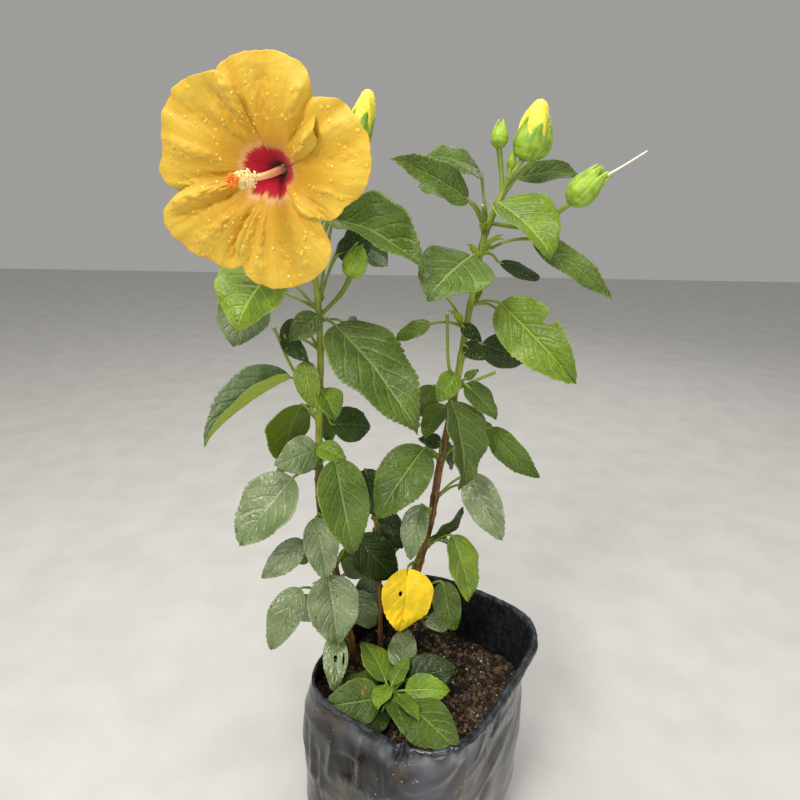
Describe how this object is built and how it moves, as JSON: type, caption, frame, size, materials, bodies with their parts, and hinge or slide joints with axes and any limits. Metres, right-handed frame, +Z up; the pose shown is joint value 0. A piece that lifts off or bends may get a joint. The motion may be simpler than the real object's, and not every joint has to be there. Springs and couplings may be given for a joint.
{
  "type": "hibiscus shrub in a grow bag",
  "caption": "Young hibiscus shrub in a soft film planter: upright leafy stems, a basal rosette, an open five-petalled bloom and closed buds.",
  "frame": {"origin": "middle of the grow bag's flat underside, on the surface it stands on", "axes": "+Z up along the stems; -Y towards the side that the open bloom faces; +X to the right as seen from that side"},
  "size_m": [0.3297, 0.2352, 0.7095],
  "materials": {
    "bag_film": "glossy crinkled black film",
    "potting_mix": "moist crumbly potting mix",
    "bark": "young bark, green higher up",
    "leaf": "glossy leaf, paler below",
    "yellow_leaf": "ageing yellow leaf",
    "petal": "satin golden petal with a crimson eye",
    "bud": "ribbed green calyx",
    "stalk": "bare green leaf stalk"
  },
  "bodies": {
    "root": {"grow_bag": "bag_film", "soil": "potting_mix", "left_stem": "bark", "right_stem": "bark", "middle_stem": "bark", "basal_stem": "bark", "left_spray_01": "leaf", "left_spray_02": "leaf", "left_spray_03": "leaf", "left_spray_04": "leaf", "left_spray_05": "leaf", "left_spray_06": "leaf", "left_spray_07": "leaf", "left_spray_08": "leaf", "left_spray_09": "leaf", "left_spray_10": "leaf", "left_spray_11": "leaf", "left_spray_12": "leaf", "left_spray_13": "leaf", "left_spray_14": "leaf", "left_spray_15": "leaf", "left_spray_16": "leaf", "left_spray_17": "leaf", "left_spray_18": "leaf", "middle_spray_01": "leaf", "middle_spray_02": "leaf", "middle_spray_03": "leaf", "right_spray_01": "leaf", "right_spray_02": "leaf", "right_spray_03": "leaf", "right_spray_04": "leaf", "right_spray_05": "leaf", "right_spray_06": "leaf", "right_spray_07": "leaf", "right_spray_08": "leaf", "right_spray_09": "leaf", "right_spray_10": "leaf", "right_spray_11": "leaf", "right_spray_12": "leaf", "right_spray_13": "leaf", "right_spray_14": "leaf", "right_spray_15": "leaf", "right_spray_16": "leaf", "right_spray_17": "leaf", "right_spray_18": "leaf", "right_spray_19": "leaf", "yellow_leaf": "yellow_leaf", "right_spray_20": "leaf", "basal_rosette": "leaf", "bloom": "petal", "left_green_bud": "bud", "left_yellow_bud": "bud", "right_side_bud": "bud", "top_buds": "bud", "left_bare_stalk": "stalk", "right_bare_stalk": "stalk"}
  },
  "joints": []
}
